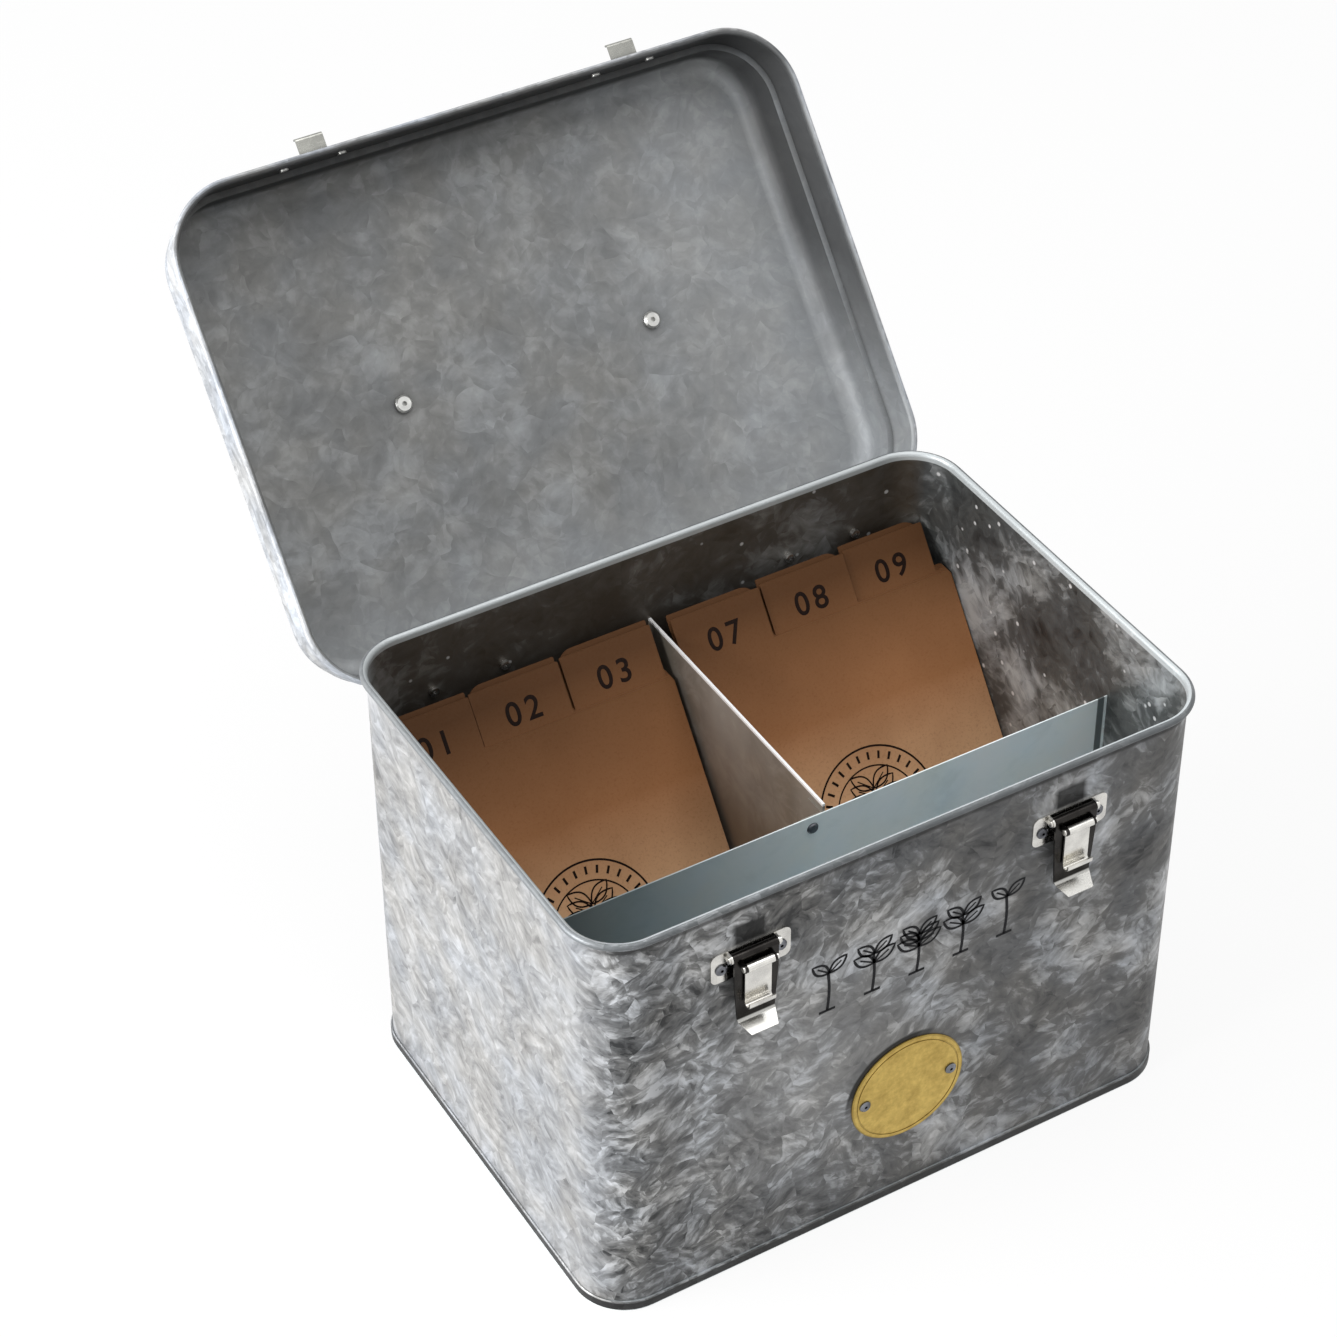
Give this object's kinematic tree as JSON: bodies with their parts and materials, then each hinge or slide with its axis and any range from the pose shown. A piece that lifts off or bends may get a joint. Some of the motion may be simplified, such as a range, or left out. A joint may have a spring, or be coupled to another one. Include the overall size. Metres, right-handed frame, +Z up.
{
  "type": "garden seed organizer box",
  "caption": "Galvanised sheet-metal seed box with a hinged stepped lid, claw latches, a carrying bail, a round brass plate, and tabbed month cards in divided compartments.",
  "frame": {"origin": "middle of the underside of the base pan", "axes": "+X to the right along the front, +Z up, the latches on the front face -Y"},
  "size_m": [0.3012, 0.3835, 0.3563],
  "materials": {
    "galvanised_sheet": "mottled galvanised zinc, satin",
    "inner_sheet": "plain zinc, satin",
    "nickel_hardware": "bright nickel plate",
    "brass_plate": "satin, engraved",
    "kraft_card": "uncoated kraft",
    "steel_rivet": "plain"
  },
  "bodies": {
    "box": {"body_shell": "galvanised_sheet", "rim_wire": "steel_rivet", "base_pan": "galvanised_sheet", "front_partition": "inner_sheet", "centre_divider": "inner_sheet", "divider_clips": "inner_sheet", "divider_rivets": "steel_rivet", "name_plate": "brass_plate", "name_plate_rivets": "steel_rivet", "hinge_body_leaf_left": "steel_rivet", "hinge_pin_left": "steel_rivet", "hinge_body_rivets_left": "steel_rivet", "latch_base_left": "nickel_hardware", "latch_rivets_left": "steel_rivet", "lever_pin_left": "nickel_hardware", "hinge_body_leaf_right": "steel_rivet", "hinge_pin_right": "steel_rivet", "hinge_body_rivets_right": "steel_rivet", "latch_base_right": "nickel_hardware", "latch_rivets_right": "steel_rivet", "lever_pin_right": "nickel_hardware"},
    "lid": {"lid_shell": "galvanised_sheet", "handle_rivets": "steel_rivet", "hinge_lid_leaf_left": "steel_rivet", "hinge_lid_rivets_left": "steel_rivet", "keeper_left": "nickel_hardware", "keeper_rivets_left": "steel_rivet", "handle_clip_left": "nickel_hardware", "hinge_lid_leaf_right": "steel_rivet", "hinge_lid_rivets_right": "steel_rivet", "keeper_right": "nickel_hardware", "keeper_rivets_right": "steel_rivet", "handle_clip_right": "nickel_hardware"},
    "bail": {"handle_bail": "nickel_hardware"},
    "lever_left": {"latch_lever_left": "nickel_hardware", "claw_pin_left": "nickel_hardware"},
    "claw_left": {"latch_claw_left": "nickel_hardware"},
    "month_card_06": {"month_card_06": "kraft_card"},
    "month_card_05": {"month_card_05": "kraft_card"},
    "month_card_04": {"month_card_04": "kraft_card"},
    "month_card_03": {"month_card_03": "kraft_card"},
    "month_card_02": {"month_card_02": "kraft_card"},
    "month_card_01": {"month_card_01": "kraft_card"},
    "lever_right": {"latch_lever_right": "nickel_hardware", "claw_pin_right": "nickel_hardware"},
    "claw_right": {"latch_claw_right": "nickel_hardware"},
    "month_card_12": {"month_card_12": "kraft_card"},
    "month_card_11": {"month_card_11": "kraft_card"},
    "month_card_10": {"month_card_10": "kraft_card"},
    "month_card_09": {"month_card_09": "kraft_card"},
    "month_card_08": {"month_card_08": "kraft_card"},
    "month_card_07": {"month_card_07": "kraft_card"}
  },
  "joints": [
    {"name": "lid_hinge", "type": "hinge", "parent": "box", "child": "lid", "pos_m": [0, 0.105, 0.1896], "axis": [-1, 0, 0], "range_deg": [-130, 0]},
    {"name": "bail_swing", "type": "hinge", "parent": "lid", "child": "bail", "pos_m": [0, 0.20965, 0.23886], "axis": [1, 0, 0], "range_deg": [-45, 145]},
    {"name": "lever_left_pivot", "type": "hinge", "parent": "box", "child": "lever_left", "pos_m": [-0.075, -0.1055, 0.1826], "axis": [-1, 0, 0], "range_deg": [0, 95]},
    {"name": "claw_left_pivot", "type": "hinge", "parent": "lever_left", "child": "claw_left", "pos_m": [-0.075, -0.1099, 0.1794], "axis": [1, 0, 0], "range_deg": [-156, 0]},
    {"name": "card_06_tilt", "type": "hinge", "parent": "box", "child": "month_card_06", "pos_m": [-0.07175, -0.03605, 0.0009], "axis": [1, 0, 0], "range_deg": [0, 5.8]},
    {"name": "card_05_tilt", "type": "hinge", "parent": "month_card_06", "child": "month_card_05", "pos_m": [-0.07175, -0.03605, 0.0009], "axis": [1, 0, 0], "range_deg": [0, 5.8]},
    {"name": "card_04_tilt", "type": "hinge", "parent": "month_card_05", "child": "month_card_04", "pos_m": [-0.07175, -0.03605, 0.0009], "axis": [1, 0, 0], "range_deg": [0, 5.8]},
    {"name": "card_03_tilt", "type": "hinge", "parent": "month_card_04", "child": "month_card_03", "pos_m": [-0.07175, -0.03605, 0.0009], "axis": [1, 0, 0], "range_deg": [0, 5.8]},
    {"name": "card_02_tilt", "type": "hinge", "parent": "month_card_03", "child": "month_card_02", "pos_m": [-0.07175, -0.03605, 0.0009], "axis": [1, 0, 0], "range_deg": [0, 5.8]},
    {"name": "card_01_tilt", "type": "hinge", "parent": "month_card_02", "child": "month_card_01", "pos_m": [-0.07175, -0.03605, 0.0009], "axis": [1, 0, 0], "range_deg": [0, 5.8]},
    {"name": "lever_right_pivot", "type": "hinge", "parent": "box", "child": "lever_right", "pos_m": [0.075, -0.1055, 0.1826], "axis": [-1, 0, 0], "range_deg": [0, 95]},
    {"name": "claw_right_pivot", "type": "hinge", "parent": "lever_right", "child": "claw_right", "pos_m": [0.075, -0.1099, 0.1794], "axis": [1, 0, 0], "range_deg": [-156, 0]},
    {"name": "card_12_tilt", "type": "hinge", "parent": "box", "child": "month_card_12", "pos_m": [0.07175, -0.03605, 0.0009], "axis": [1, 0, 0], "range_deg": [0, 5.8]},
    {"name": "card_11_tilt", "type": "hinge", "parent": "month_card_12", "child": "month_card_11", "pos_m": [0.07175, -0.03605, 0.0009], "axis": [1, 0, 0], "range_deg": [0, 5.8]},
    {"name": "card_10_tilt", "type": "hinge", "parent": "month_card_11", "child": "month_card_10", "pos_m": [0.07175, -0.03605, 0.0009], "axis": [1, 0, 0], "range_deg": [0, 5.8]},
    {"name": "card_09_tilt", "type": "hinge", "parent": "month_card_10", "child": "month_card_09", "pos_m": [0.07175, -0.03605, 0.0009], "axis": [1, 0, 0], "range_deg": [0, 5.8]},
    {"name": "card_08_tilt", "type": "hinge", "parent": "month_card_09", "child": "month_card_08", "pos_m": [0.07175, -0.03605, 0.0009], "axis": [1, 0, 0], "range_deg": [0, 5.8]},
    {"name": "card_07_tilt", "type": "hinge", "parent": "month_card_08", "child": "month_card_07", "pos_m": [0.07175, -0.03605, 0.0009], "axis": [1, 0, 0], "range_deg": [0, 5.8]}
  ]
}
